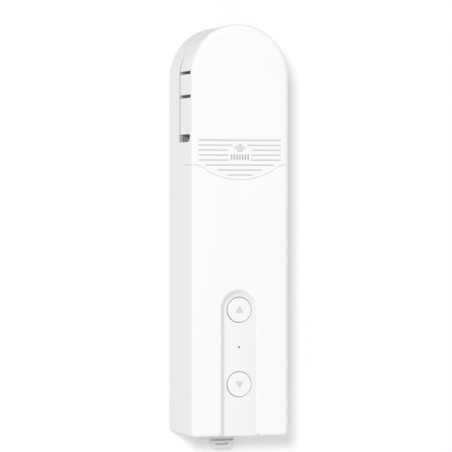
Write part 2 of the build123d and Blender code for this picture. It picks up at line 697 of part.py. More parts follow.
def gear_pins():
    """Two steel pins that the loose gears turn on."""
    return Compound(children=[bar(PIN_RADIUS, *PIN_REACH, 0, z) for z in (FIRST_Z, SECOND_Z)])


def gearbox_screws():
    """Screws through the front plate into the columns."""
    screws = []
    seat = FRONT_PLATE[0]
    for x, z in COLUMNS:
        screw = bar(SCREW_RADIUS, seat - 0.1, seat + 10, x, z) + bar(SCREW_HEAD, seat - 1.3, seat, x, z)
        screws.append(screw - cross_cut(seat - 0.8, x, z))
    return Compound(children=screws)


def cross_cut(y, x, z):
    """Cross recess in a screw head that faces the front, down to depth y."""
    level = block(x - 1.1, x + 1.1, y - 2, y, z - 0.22, z + 0.22)
    return level + block(x - 0.22, x + 0.22, y - 2, y, z - 1.1, z + 1.1)


def shaft_bushes():
    """Bronze bushes for the chain wheel's shaft, one in each plate."""
    bushes = []
    for plate, collar in ((FRONT_PLATE, (FRONT_PLATE[0] - 1, FRONT_PLATE[0])),
                          (REAR_PLATE, (REAR_PLATE[0] - 0.5, REAR_PLATE[0]))):
        bush = bar(BUSH_RADIUS, plate[0] - 0.1, plate[1] - 0.1, 0, WHEEL_Z)
        bush = bush + bar(BUSH_COLLAR, *collar, 0, WHEEL_Z)
        bushes.append(bush - bar(SHAFT_RADIUS + 0.04, 15, 36, 0, WHEEL_Z))
    return Compound(children=bushes)


def output_shaft():
    """Steel shaft of the chain wheel with a groove for its clip."""
    shaft = bar(SHAFT_RADIUS, 5.2, 34.9, 0, WHEEL_Z)
    shaft = chamfer(shaft.edges().sort_by(Axis.Y)[0], 0.4)
    return shaft - (bar(4, 6.2, 6.9, 0, WHEEL_Z) - bar(2.4, 6, 7.2, 0, WHEEL_Z))


def wheel_clip():
    """Spring clip that keeps the chain wheel on its shaft."""
    ring = tube(4.3, 2.45, 6.3, 6.8, 0, WHEEL_Z)
    return ring - block(-1.4, 1.4, 6, 7, WHEEL_Z - 6, WHEEL_Z)


def output_gear():
    """Last gear of the train, on the chain wheel's shaft."""
    _, teeth, module = THIRD_PAIR
    wheel = gear(teeth, module, gap_angle(teeth), PLANE_C, WHEEL_Z)
    return wheel - bar(SHAFT_RADIUS + 0.02, 18, 24, 0, WHEEL_Z)


def chain_wheel():
    """Wheel with round pockets for the beads and a groove for the cord between them."""
    wheel = bar(WHEEL_RADIUS, *WHEEL, 0, WHEEL_Z)
    rims = wheel.edges().filter_by(GeomType.CIRCLE)
    wheel = fillet(rims, 0.8)
    middle = (WHEEL[0] + WHEEL[1]) / 2
    groove = Pos(0, middle, WHEEL_Z) * Rot(90, 0, 0) * Torus(WHEEL_PITCH_RADIUS + 0.9, 1.1)
    wheel = wheel - groove - bar(SHAFT_RADIUS + 0.02, 6, 17, 0, WHEEL_Z)
    for pocket in range(POCKETS):
        turn = 2 * pi * pocket / POCKETS
        x, z = WHEEL_PITCH_RADIUS * cos(turn), WHEEL_PITCH_RADIUS * sin(turn)
        wheel = wheel - Pos(x, middle, WHEEL_Z + z) * Sphere(BEAD_RADIUS + 0.15)
    return wheel


def chain_guide():
    """Curved shoe under the wheel that keeps the beads in their pockets."""
    ring = tube(GUIDE_RADIUS + 1.3, GUIDE_RADIUS, GUIDE_FRONT, FRONT_PLATE[0], 0, WHEEL_Z)
    foot = tube(GUIDE_RADIUS + 4.4, GUIDE_RADIUS, FRONT_PLATE[0] - 1.2, FRONT_PLATE[0], 0, WHEEL_Z)
    lower = block(-20, 20, 8, 18, WHEEL_Z - 20, WHEEL_Z - 1.0)
    shoe = (ring + foot) & lower
    for x in (-GUIDE_PEG, GUIDE_PEG):
        shoe = shoe - bar(PEG_RADIUS + 0.02, FRONT_PLATE[0] - 2, FRONT_PLATE[0] + 1, x, WHEEL_Z - GUIDE_PEG)
    return shoe


def case_screws():
    """Four screws that pull the front panel onto the rear shell from behind."""
    screws = []
    top = HEAD_SEAT + 1.6
    for x in (-CASE_SCREW_X, CASE_SCREW_X):
        for z in CASE_SCREW_Z:
            screw = bar(THREAD_RADIUS, POST_FRONT + 1, HEAD_SEAT + 0.1, x, z)
            screw = screw + bar(HEAD_RADIUS, HEAD_SEAT, top, x, z)
            cut = block(x - 1.2, x + 1.2, top - 0.6, top + 1, z - 0.25, z + 0.25)
            screws.append(screw - cut - block(x - 0.25, x + 0.25, top - 0.6, top + 1, z - 1.2, z + 1.2))
    return Compound(children=screws)


def wall_bracket():
    """Plate that is screwed or taped to the wall, with the rail and rack that hold the case."""
    plate = block(-BRACKET_HALF, BRACKET_HALF, *BRACKET, *BRACKET_Z)
    plate = fillet(plate.edges().filter_by(Axis.Y), 6.0)
    plate = chamfer(plate.faces().sort_by(Axis.Y)[0].edges(), 0.5)
    neck = block(-RAIL_NECK_HALF, RAIL_NECK_HALF, RAIL_HEAD[1] - 0.1, BRACKET[0] + 0.5, *RAIL_Z)
    head = block(-RAIL_HEAD_HALF, RAIL_HEAD_HALF, *RAIL_HEAD, *RAIL_Z)
    body = plate + neck + head
    teeth = int((RAIL_Z[1] - RAIL_Z[0]) / RACK_PITCH) - 1
    front = RAIL_HEAD[0]
    for tooth in range(teeth):
        z = RAIL_Z[0] + 1 + tooth * RACK_PITCH
        notch = make_face(Polyline((front - 1, z), (front, z), (front + RACK_DEPTH, z + 0.25),
                                   (front, z + 1.7), (front - 1, z + 1.7), close=True))
        body = body - extrude(Plane.YZ.offset(-RACK_HALF) * notch, 2 * RACK_HALF)
    for z in (SCREW_Z - SCREW_SPACING / 2, SCREW_Z + SCREW_SPACING / 2):
        body = body - bar(SCREW_HOLE, BRACKET[0] - 1, BRACKET[1] + 1, 0, z)
        cone = Cone(SCREW_HOLE, SINK_RADIUS, SINK_DEPTH + 0.002)
        sink = Pos(0, BRACKET[0] + SINK_DEPTH / 2, z) * Rot(90, 0, 0) * cone
        body = body - sink
    for z0, z1 in PAD_Z:
        side = PAD_HALF + 0.2
        body = body - block(-side, side, TOTAL_DEPTH - PAD_THICKNESS, TOTAL_DEPTH + 1, z0, z1)
    return body


def adhesive_pads():
    """Two foam tape pads let into the bracket's back."""
    front = TOTAL_DEPTH - PAD_THICKNESS
    pads = [block(-PAD_HALF, PAD_HALF, front, TOTAL_DEPTH, z0 + 0.2, z1 - 0.2) for z0, z1 in PAD_Z]
    return Compound(children=pads)


def release_lever():
    """Clear lever: its tab hangs below the case, and its nose holds the rack."""
    tab = outline((-TAB_HALF, 6.6), (-TAB_HALF, -2.4), (-4.3, TAB_LOW_Z), (4.3, TAB_LOW_Z), (TAB_HALF, -2.4),
                  (TAB_HALF, 6.6))
    corners = tab.vertices().filter_by(lambda v: v.Y < 0)
    tab = slab(fillet(corners, 2.2), *TAB)
    front = tab.faces().sort_by(Axis.Y)[0].edges()
    tab = fillet([e for e in front if e.center().Z < 1], 0.6)
    arm = block(-TAB_HALF, TAB_HALF, LEVER_FRONT, TAB[1], 6.5, LEVER_PIN[1])
    barrel = cross_pin(1.5, -TAB_HALF, TAB_HALF, *LEVER_PIN)
    nose = make_face(Polyline((31.1, 15.2), (32.25, 15.6), (32.3, 16.0), (31.1, 17.6), close=True))
    body = tab + arm + barrel + extrude(Plane.YZ.offset(-NOSE_HALF) * nose, 2 * NOSE_HALF)
    body = body - cross_pin(LEVER_PIN_RADIUS + 0.05, -9, 9, *LEVER_PIN)
    for z, half in TAB_GROOVES:
        groove = block(-half, half, TAB[0] - 1, TAB[0] + 1.1, z - 0.45, z + 0.45)
        body = body - fillet(groove.edges().filter_by(Axis.Y), 0.4)
    return body


def lever_pin():
    """Steel pin of the release lever."""
    return cross_pin(LEVER_PIN_RADIUS, -LEVER_PIN_HALF, LEVER_PIN_HALF, *LEVER_PIN)


def lever_spring():
    """Flat spring that presses the lever's arm towards the rack."""
    foot = block(-SPRING_HALF, SPRING_HALF, RAILWAY_FLOOR, RAILWAY_FLOOR + 0.2, 24.0, 36.0)
    return foot + block(-SPRING_HALF, SPRING_HALF, RAILWAY_FLOOR, RAILWAY_FLOOR + 0.45, 34.6, 36.0)


def build():
    """Make every piece and write it."""
    os.makedirs("parts", exist_ok=True)
    shell = case_shell()
    save("rear_housing", rear_housing(shell))
    save("front_panel", front_panel(shell))
    save("top_cover", top_cover(shell))
    save("up_button", button(UP_Z, 1))
    save("down_button", button(DOWN_Z, -1))
    save("button_pad", button_pad())
    save("main_board", main_board())
    save("tact_switches", tact_switches())
    save("radio_module", radio_module())
    save("drive_chip", drive_chip())
    save("usb_port", usb_port())
    save("status_led", status_led())
    save("light_pipe", light_pipe())
    save("battery_cells", battery_cells())
    save("battery_holder", battery_holder())
    save("battery_contacts", battery_contacts())
    save("motor_can", motor_can())
    save("motor_magnets", motor_magnets())
    save("motor_armature", motor_armature())
    save("motor_end_cap", motor_end_cap())
    save("motor_shaft", motor_shaft())
    save("motor_pinion", motor_pinion())
    save("motor_plate", motor_plate())
    save("motor_screws", motor_screws())
    save("gearbox_front_plate", gearbox_front_plate())
    save("gearbox_rear_plate", gearbox_rear_plate())
    save("gearbox_screws", gearbox_screws())
    save("gear_pins", gear_pins())
    save("first_gear", compound_gear(FIRST_PAIR, SECOND_PAIR, PLANE_A, PLANE_B, FIRST_Z))
    save("second_gear", compound_gear(SECOND_PAIR, THIRD_PAIR, PLANE_B, PLANE_C, SECOND_Z))
    save("output_gear", output_gear())
    save("output_shaft", output_shaft())
    save("shaft_bushes", shaft_bushes())
    save("chain_wheel", chain_wheel())
    save("wheel_clip", wheel_clip())
    save("chain_guide", chain_guide())
    save("case_screws", case_screws())
    save("wall_bracket", wall_bracket())
    save("adhesive_pads", adhesive_pads())
    save("release_lever", release_lever())
    save("lever_pin", lever_pin())
    save("lever_spring", lever_spring())


build()
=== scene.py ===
import json
import math

import bmesh
import bpy
from bpy.props import FloatProperty, FloatVectorProperty, PointerProperty
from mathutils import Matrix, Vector

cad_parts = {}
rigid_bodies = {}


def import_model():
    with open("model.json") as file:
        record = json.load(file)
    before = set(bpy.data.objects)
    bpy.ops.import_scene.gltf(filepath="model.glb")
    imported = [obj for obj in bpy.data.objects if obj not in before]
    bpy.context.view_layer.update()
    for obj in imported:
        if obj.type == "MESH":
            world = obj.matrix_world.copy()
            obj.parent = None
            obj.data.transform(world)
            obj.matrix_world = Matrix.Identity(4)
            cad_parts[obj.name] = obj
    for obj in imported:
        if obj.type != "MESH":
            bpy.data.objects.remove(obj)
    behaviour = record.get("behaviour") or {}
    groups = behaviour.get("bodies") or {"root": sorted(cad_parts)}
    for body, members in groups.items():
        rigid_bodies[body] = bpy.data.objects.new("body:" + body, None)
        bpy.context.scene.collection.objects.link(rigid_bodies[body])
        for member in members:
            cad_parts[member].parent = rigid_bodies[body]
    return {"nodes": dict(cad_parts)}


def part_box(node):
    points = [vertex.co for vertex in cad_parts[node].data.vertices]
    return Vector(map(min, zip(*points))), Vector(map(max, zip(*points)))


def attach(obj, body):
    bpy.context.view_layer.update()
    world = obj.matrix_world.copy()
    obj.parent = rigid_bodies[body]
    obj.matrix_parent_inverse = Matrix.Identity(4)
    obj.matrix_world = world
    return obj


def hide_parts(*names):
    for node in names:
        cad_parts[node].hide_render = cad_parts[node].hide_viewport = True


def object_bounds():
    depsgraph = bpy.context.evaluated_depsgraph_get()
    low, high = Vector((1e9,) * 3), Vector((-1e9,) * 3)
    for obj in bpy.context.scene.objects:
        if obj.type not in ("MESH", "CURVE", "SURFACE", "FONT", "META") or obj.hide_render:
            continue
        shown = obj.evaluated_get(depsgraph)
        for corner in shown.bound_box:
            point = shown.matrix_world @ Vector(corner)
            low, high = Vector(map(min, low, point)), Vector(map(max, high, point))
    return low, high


bl_info = {
    "name": "Roller Shade Motor",
    "version": (1, 0, 0),
    "blender": (4, 5, 0),
    "location": "3D View > Sidebar > Shade Motor",
    "description": "Gives a roller shade motor its finishes and fine pieces, and stages it",
    "category": "Object",
}

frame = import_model()
NODES = frame["nodes"]
CAD_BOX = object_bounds()
MM = 0.001

# Places that the finishes and the grown pieces need, all taken from the frame
FACE_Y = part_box("top_cover")[0].y
COVER_LOW_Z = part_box("top_cover")[0].z
COVER_TOP_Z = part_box("top_cover")[1].z
CASE_LOW_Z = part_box("front_panel")[0].z
WHEEL_CENTRE = (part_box("chain_wheel")[0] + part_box("chain_wheel")[1]) / 2
WHEEL_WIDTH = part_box("chain_wheel")[1].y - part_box("chain_wheel")[0].y
KEY_FACE_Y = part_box("up_button")[0].y
KEY_HEIGHTS = [(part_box(key)[0].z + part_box(key)[1].z) / 2 for key in ("up_button", "down_button")]

# Where the painted shade and highlights on the shells change: depths behind the front face, half widths, and
# heights above the cover's lower edge or, below nought, under its top
SEAM_DEPTHS = (17.5 * MM, 17.66 * MM)
SEAM_FOOT = 17.2 * MM
SEAM_FADES = (-20.0 * MM, -12.0 * MM)
ROUND_TOP = (-12.0 * MM, -6.0 * MM)
MARK_DEPTHS = (0.12 * MM, 0.6 * MM)
MARK_HALF = 20.4 * MM
MARK_HEIGHTS = (1.5 * MM, 20.0 * MM)
SHORT_RIB_HALF = 5.0 * MM
SHORT_RIB_HEIGHTS = (8.8 * MM, 12.0 * MM)
CHANNEL_HALF = 9.9 * MM
CHANNEL_DEPTH = 1.3 * MM

# How much moulded plastic varies in shade, and how many flow clouds it has in a metre
MOTTLE = 0.012
FLOW_SCALE = 28.0

# What counts as one point, and the angle from which an edge is sharp, in a grown piece
MERGE = 0.002 * MM
SHARP = math.radians(32)

# Screw places in the case's own millimetres: across, the depth of the head's seat, and height
GEARBOX_SCREWS = [(x, 17.6, z) for x, z in ((-13.6, 84.6), (13.6, 84.6), (-17.4, 122.0), (17.4, 122.0),
                                            (-12.0, 176.5), (12.0, 176.5))]
MOTOR_SCREWS = [(-7.0, 26.6, 97.0), (7.0, 26.6, 97.0)]
CASE_SCREWS = [(x, 17.0, z) for x in (-19.4, 19.4) for z in (4.6, 112.0)]


def in_frame(x, y, z):
    """Frame position in metres of a point in the case's own millimetres."""
    return x * MM, FACE_Y + y * MM, CASE_LOW_Z + z * MM


# Node trees


class Num:
    """A number in a node tree. Arithmetic on it adds Math nodes."""

    def __init__(self, tree, socket):
        self.tree = tree
        self.socket = socket

    def maths(self, operation, *others, swap=False):
        """One Math node on this number and others, or on the first of the others and this one."""
        values = [self, *others]
        if swap:
            values = [others[0], self]
        node = self.tree.node("ShaderNodeMath", {"operation": operation}, dict(enumerate(values)))
        return Num(self.tree, node.outputs[0])

    def __add__(self, other):
        return self.maths("ADD", other)

    __radd__ = __add__

    def __sub__(self, other):
        return self.maths("SUBTRACT", other)

    def __rsub__(self, other):
        return self.maths("SUBTRACT", other, swap=True)

    def __mul__(self, other):
        return self.maths("MULTIPLY", other)

    __rmul__ = __mul__

    def __truediv__(self, other):
        return self.maths("DIVIDE", other)

    def __gt__(self, other):
        return self.maths("GREATER_THAN", other)

    def __lt__(self, other):
        return self.maths("LESS_THAN", other)

    def __abs__(self):
        return self.maths("ABSOLUTE")

    def between(self, low, high):
        """1 where this number is above low and below high, and 0 elsewhere."""
        return (self > low) * (self < high)

    def wave(self):
        """Sine of this number."""
        return self.maths("SINE")

    def step(self, low, high):
        """Smooth rise from 0 to 1 as this number goes from low to high."""
        ranged = self.tree.node("ShaderNodeMapRange", {"interpolation_type": "SMOOTHSTEP"},
                                {0: self, 1: low, 2: high, 3: 0.0, 4: 1.0})
        return Num(self.tree, ranged.outputs[0])


class Tree:
    """A node tree that is being made."""

    def __init__(self, group):
        self.group = group

    def node(self, kind, settings=None, sockets=None):
        """Add a node: its settings first, then the values or links of its sockets."""
        made = self.group.nodes.new(kind)
        for name, value in (settings or {}).items():
            setattr(made, name, value)
        for key, value in (sockets or {}).items():
            for each in value if isinstance(value, list) else [value]:
                each = each.socket if isinstance(each, Num) else each
                if isinstance(each, bpy.types.NodeSocket):
                    self.group.links.new(each, made.inputs[key])
                else:
                    made.inputs[key].default_value = each
        return made

    def number(self, socket):
        """A socket as a number that can be used in sums."""
        return Num(self, socket)


class Finish(Tree):
    """A material that is being made, with its pattern on Object coordinates."""

    def __init__(self, name):
        self.material = bpy.data.materials.new(name)
        self.material.use_nodes = True
        self.material.node_tree.nodes.clear()
        super().__init__(self.material.node_tree)
        self.place = self.node("ShaderNodeTexCoord").outputs["Object"]

    def parts(self, vector):
        """The three parts of a vector, as numbers."""
        split = self.node("ShaderNodeSeparateXYZ", None, {0: vector})
        return [self.number(split.outputs[i]) for i in range(3)]

    def axes(self):
        """The three coordinates of the place, as numbers."""
        return self.parts(self.place)

    def normals(self):
        """The three parts of the way the surface faces, as numbers."""
        return self.parts(self.node("ShaderNodeNewGeometry").outputs["Normal"])

    def stretched(self, x, y, z):
        """The place, scaled on each axis."""
        scaled = self.node("ShaderNodeVectorMath", {"operation": "MULTIPLY"}, {0: self.place, 1: (x, y, z)})
        return scaled.outputs[0]

    def noise(self, scale, detail=2.0, roughness=0.5, vector=None):
        """Noise from 0 to 1 of a scale in features per metre."""
        made = self.node("ShaderNodeTexNoise", None, {
            "Vector": vector or self.place, "Scale": scale, "Detail": detail, "Roughness": roughness})
        return self.number(made.outputs[0])

    def cells(self, scale):
        """Distance to the nearest cell centre, for foams and castings."""
        made = self.node("ShaderNodeTexVoronoi", None, {"Vector": self.place, "Scale": scale})
        return self.number(made.outputs["Distance"])

    def shaded(self, colour, amount):
        """A colour made lighter or darker by a number."""
        value = colour if isinstance(colour, bpy.types.NodeSocket) else tuple(colour[:3])
        made = self.node("ShaderNodeVectorMath", {"operation": "SCALE"}, {0: value, "Scale": amount})
        return made.outputs[0]

    def mixed(self, factor, first, second):
        """From the first colour to the second."""
        pair = [c if isinstance(c, bpy.types.NodeSocket) else (*c[:3], 1.0) for c in (first, second)]
        made = self.node("ShaderNodeMix", {"data_type": "RGBA"}, {0: factor, 6: pair[0], 7: pair[1]})
        return made.outputs[2]

    def bumped(self, height, distance):
        """A normal from a height of 0 to 1 over a depth in metres."""
        made = self.node("ShaderNodeBump", None, {"Strength": 1.0, "Distance": distance, "Height": height})
        return made.outputs[0]

    def surface(self, sockets):
        """Close the material with its shader and return it."""
        shader = self.node("ShaderNodeBsdfPrincipled", None, sockets)
        self.node("ShaderNodeOutputMaterial", None, {0: shader.outputs[0]})
        return self.material


class Plan(Tree):
    """A geometry tree that is being made, with named inputs for its sizes and its material."""

    def __init__(self, name, sizes):
        super().__init__(bpy.data.node_groups.new(name, "GeometryNodeTree"))
        sheet = self.group.interface
        sheet.new_socket("Points", in_out="INPUT", socket_type="NodeSocketGeometry")
        self.ids = {}
        for label, value in sizes.items():
            kind = "NodeSocketInt" if isinstance(value, int) else "NodeSocketFloat"
            made = sheet.new_socket(label, in_out="INPUT", socket_type=kind)
            made.default_value = value
            self.ids[label] = made.identifier
        made = sheet.new_socket("Material", in_out="INPUT", socket_type="NodeSocketMaterial")
        self.ids["Material"] = made.identifier
        sheet.new_socket("Made", in_out="OUTPUT", socket_type="NodeSocketGeometry")
        self.entry = self.node("NodeGroupInput")

    def given(self, label):
        """One of the inputs, as a number."""
        return self.number(self.entry.outputs[label])

    def vector(self, x, y, z):
        """A vector from three numbers."""
        return self.node("ShaderNodeCombineXYZ", None, {0: x, 1: y, 2: z}).outputs[0]

    def moved(self, shape, translation=(0, 0, 0), rotation=(0, 0, 0)):
        """A shape turned and moved."""
        return self.node("GeometryNodeTransform", None, {
            "Geometry": shape, "Translation": translation, "Rotation": rotation}).outputs[0]

    def drum(self, low_radius, high_radius, length, lift=0.0, sides=40):
        """Round body along Z from the lift upwards, straight or tapered."""
        cone = self.node("GeometryNodeMeshCone", None, {
            "Vertices": sides, "Radius Top": high_radius, "Radius Bottom": low_radius, "Depth": length})
        return self.moved(cone.outputs["Mesh"], self.vector(0.0, 0.0, lift))

    def cut(self, shape, *tools):
        """A shape less others."""
        return self.node("GeometryNodeMeshBoolean", {"operation": "DIFFERENCE", "solver": "EXACT"},
                         {"Mesh 1": shape, "Mesh 2": list(tools)}).outputs["Mesh"]

    def fused(self, *shapes):
        """Shapes made one."""
        return self.node("GeometryNodeMeshBoolean", {"operation": "UNION", "solver": "EXACT"},
                         {"Mesh 2": list(shapes)}).outputs["Mesh"]

    def box(self, x, y, z):
        """A block about the origin."""
        return self.node("GeometryNodeMeshCube", None, {"Size": self.vector(x, y, z)}).outputs["Mesh"]

    def swept(self, path, radius, sides):
        """A round or many-sided rod along a curve."""
        ring = self.node("GeometryNodeCurvePrimitiveCircle", None, {"Resolution": sides, "Radius": radius})
        return self.node("GeometryNodeCurveToMesh", None, {
            "Curve": path, "Profile Curve": ring.outputs[0], "Fill Caps": True}).outputs[0]

    def finished(self, shape):
        """End the tree with real geometry that has the given material."""
        real = self.node("GeometryNodeRealizeInstances", None, {0: shape}).outputs[0]
        done = self.node("GeometryNodeSetMaterial", None, {
            "Geometry": real, "Material": self.entry.outputs["Material"]})
        self.node("NodeGroupOutput", None, {0: done.outputs[0]})
        return self


def grown(name, plan, values, points, soften=0.0):
    """Grow a plan on points and return the result as a plain mesh object."""
    seed = bpy.data.objects.new(name + "_points", bpy.data.meshes.new(name + "_points"))
    seed.data.from_pydata(points, [], [])
    bpy.context.scene.collection.objects.link(seed)
    grow = seed.modifiers.new("grow", "NODES")
    grow.node_group = plan.group
    for label, value in values.items():
        grow[plan.ids[label]] = value
    if soften:
        bevel = seed.modifiers.new("soften", "BEVEL")
        bevel.width = soften
        bevel.segments = 2
        bevel.limit_method = "ANGLE"
        bevel.angle_limit = math.radians(35)
        bevel.use_clamp_overlap = True
    mesh = bpy.data.meshes.new_from_object(seed.evaluated_get(bpy.context.evaluated_depsgraph_get()))
    bpy.data.objects.remove(seed)
    if not mesh.polygons:
        raise RuntimeError(name + " came out empty")
    mesh.name = name
    piece = bpy.data.objects.new(name, mesh)
    bpy.context.scene.collection.objects.link(piece)
    return piece


def tidied(piece):
    """Merge doubles, turn the faces outwards and shade all but the sharp edges smoothly."""
    work = bmesh.new()
    work.from_mesh(piece.data)
    bmesh.ops.remove_doubles(work, verts=work.verts, dist=MERGE)
    bmesh.ops.dissolve_degenerate(work, edges=work.edges, dist=MERGE / 2)
    bmesh.ops.recalc_face_normals(work, faces=work.faces)
    for face in work.faces:
        face.smooth = True
    for edge in work.edges:
        edge.smooth = len(edge.link_faces) == 2 and edge.calc_face_angle(0.0) < SHARP
    work.to_mesh(piece.data)
    work.free()
    return piece


def screw_plan():
    """Small screw with a rolled head, a cross recess and a thread, one on each point."""
    plan = Plan("screw_plan", {"Shank radius": 1.0 * MM, "Shank length": 10.0 * MM, "Head radius": 1.9 * MM,
                               "Head height": 1.3 * MM, "Recess": 0.5 * MM, "Pitch": 0.7 * MM,
                               "Facing": math.radians(90), "Seed": 3})
    shank, length = plan.given("Shank radius"), plan.given("Shank length")
    head, height = plan.given("Head radius"), plan.given("Head height")
    root, crest, threaded = shank * 0.82, shank * 0.79, length * 0.84
    top = plan.drum(head, head * 0.72, height * 0.4, height * 0.6)
    barrel = plan.drum(head * 0.96, head, height * 0.6 + 0.01 * MM)
    core = plan.drum(shank * 0.55, root, length, length * -1.0, sides=20)
    spiral = plan.node("GeometryNodeCurveSpiral", None, {
        "Resolution": 16, "Rotations": threaded / plan.given("Pitch"), "Start Radius": crest,
        "End Radius": crest, "Height": threaded})
    thread = plan.moved(plan.swept(spiral.outputs[0], shank * 0.2, 3), plan.vector(0.0, 0.0, length * -0.92))
    neck = plan.drum(root, root, 0.3 * MM, -0.1 * MM, sides=20)
    whole = plan.fused(top, barrel, neck, core, thread)
    depth = plan.given("Recess")
    arm, slot = head * 1.16, head * 0.24
    cross = plan.fused(plan.box(arm, slot, depth * 2.0), plan.box(slot, arm, depth * 2.0))
    whole = plan.cut(whole, plan.moved(cross, plan.vector(0.0, 0.0, height)))
    turn = plan.node("FunctionNodeRandomValue", {"data_type": "FLOAT"}, {
        2: 0.0, 3: math.tau, "Seed": plan.given("Seed")}).outputs[1]
    placed = plan.node("GeometryNodeInstanceOnPoints", None, {
        "Points": plan.entry.outputs["Points"], "Instance": whole,
        "Rotation": plan.vector(plan.given("Facing"), turn, 0.0)})
    return plan.finished(placed.outputs[0])


def wheel_plan():
    """Chain wheel: round pockets for the beads, a cord groove, a bore and shallow webs on its faces."""
    plan = Plan("wheel_plan", {"Radius": 8.94 * MM, "Width": WHEEL_WIDTH, "Pitch radius": 7.64 * MM,
                               "Pockets": 8, "Bead radius": 2.4 * MM, "Groove radius": 1.1 * MM,
                               "Bore": 3.02 * MM, "Edge": 0.7 * MM, "Web depth": 0.9 * MM})
    radius, width, edge = plan.given("Radius"), plan.given("Width"), plan.given("Edge")
    pitch, pockets = plan.given("Pitch radius"), plan.given("Pockets")
    half = width * 0.5
    low = plan.drum(radius - edge, radius, edge, half * -1.0, sides=96)
    middle = plan.drum(radius, radius, width - edge * 2.0, edge - half, sides=96)
    high = plan.drum(radius, radius - edge, edge, half - edge, sides=96)
    ring = plan.node("GeometryNodeCurvePrimitiveCircle", None, {"Resolution": 64, "Radius": pitch + 0.9 * MM})
    groove = plan.swept(ring.outputs[0], plan.given("Groove radius"), 16)
    spots = plan.node("GeometryNodeMeshCircle", None, {"Vertices": pockets, "Radius": pitch}).outputs[0]
    bead = plan.node("GeometryNodeMeshUVSphere", None, {
        "Segments": 24, "Rings": 12, "Radius": plan.given("Bead radius")}).outputs["Mesh"]
    beads = plan.node("GeometryNodeInstanceOnPoints", None, {"Points": spots, "Instance": bead}).outputs[0]
    beads = plan.node("GeometryNodeRealizeInstances", None, {0: beads}).outputs[0]
    bore = plan.drum(plan.given("Bore"), plan.given("Bore"), width * 1.2, width * -0.6, sides=48)
    depth, hub = plan.given("Web depth"), radius * 0.46
    dish = plan.cut(plan.drum(radius * 0.62, radius * 0.64, depth * 2.0, half - depth, sides=72),
                    plan.drum(hub, hub, depth * 4.0, half - depth * 2.0, sides=72))
    spoke = plan.moved(plan.box(radius * 2.0, 0.9 * MM, depth * 4.0), plan.vector(0.0, 0.0, half))
    turned = plan.moved(spoke, rotation=(0.0, 0.0, math.radians(60)))
    spokes = plan.fused(spoke, turned, plan.moved(spoke, rotation=(0.0, 0.0, math.radians(120))))
    wheel = plan.cut(plan.fused(low, middle, high), groove, beads, bore, plan.cut(dish, spokes))
    stood = plan.moved(wheel, tuple(WHEEL_CENTRE), (math.radians(90), 0.0, 0.0))
    return plan.finished(stood)


def rib_plan():
    """Two rings and a star of stiffening ribs that stand on a flat plate."""
    plan = Plan("rib_plan", {"Inner radius": 11.4 * MM, "Outer radius": 17.2 * MM, "Ribs": 15,
                             "Width": 0.9 * MM, "Height": 0.7 * MM, "Root": 0.2 * MM})
    inner, outer = plan.given("Inner radius"), plan.given("Outer radius")
    width, height = plan.given("Width"), plan.given("Height") + plan.given("Root")
    foot, crown = width * 0.5, width * 0.4
    rings = [plan.cut(plan.drum(radius + foot, radius + crown, height, sides=96),
                      plan.drum(radius - foot, radius - crown, height * 3.0, height * -1.0, sides=96))
             for radius in (inner, outer)]
    spoke = plan.moved(plan.box(outer - inner, width, height),
                       plan.vector((inner + outer) * 0.5, 0.0, height * 0.5))
    count = plan.given("Ribs")
    points = plan.node("GeometryNodeMeshLine", None, {"Count": count, "Offset": (0.0, 0.0, 0.0)}).outputs[0]
    order = plan.number(plan.node("GeometryNodeInputIndex").outputs[0])
    star = plan.node("GeometryNodeInstanceOnPoints", None, {
        "Points": points, "Instance": spoke, "Rotation": plan.vector(0.0, 0.0, order * math.tau / count)})
    star = plan.node("GeometryNodeRealizeInstances", None, {0: star.outputs[0]}).outputs[0]
    ribs = plan.fused(*rings, star)
    stood = plan.node("GeometryNodeInstanceOnPoints", None, {
        "Points": plan.entry.outputs["Points"], "Instance": ribs, "Rotation": (math.radians(90), 0.0, 0.0)})
    return plan.finished(stood.outputs[0])


# Finishes


def moulded(name, colour, roughness, grain, depth=0.02 * MM):
    """Moulded plastic: an even fine grain, faint flow shading and a roughness that wanders a little."""
    finish = Finish(name)
    flow = finish.noise(FLOW_SCALE, 3.0)
    speck = finish.noise(grain, 3.0, 0.6)
    base = finish.shaded(colour, (flow - 0.5) * (2 * MOTTLE) + (speck - 0.5) * MOTTLE + 1.0)
    return finish.surface({"Base Color": base, "Normal": finish.bumped(speck, depth),
                           "Roughness": (flow - 0.5) * 0.08 + (speck - 0.5) * 0.1 + roughness})


def shell_white(look, name, painted_light):
    """White plastic of a case shell, with painted shade round its left front edge and the painted light of its
    own shell laid on top.
    """
    finish = Finish(name)
    place = finish.axes()
    facing = finish.normals()
    front = facing[1] * -1.0
    # Painted shade: the rounding of the left front edge is made darker where it turns from the front to the
    # side
    left = (facing[0] * -1.0).step(0.02, 0.3) * (place[0] * -1.0).step(14.0 * MM, 20.0 * MM)
    edge = front.step(0.0, 0.5) * (1.0 - front.step(0.7, 0.95) * 0.6) * left * 0.12
    flow = finish.noise(FLOW_SCALE, 3.0)
    speck = finish.noise(look.grain, 3.0, 0.6)
    white = finish.shaded(look.case_colour,
                          (flow - 0.5) * (2 * MOTTLE) + (speck - 0.5) * MOTTLE - edge + 1.0)
    return finish.surface({"Base Color": painted_light(finish, white, place), "Specular IOR Level": 0.4,
                           "Roughness": (speck - 0.5) * 0.1 + (flow - 0.5) * 0.08 + 0.5,
                           "Normal": finish.bumped(speck, look.grain_depth)})


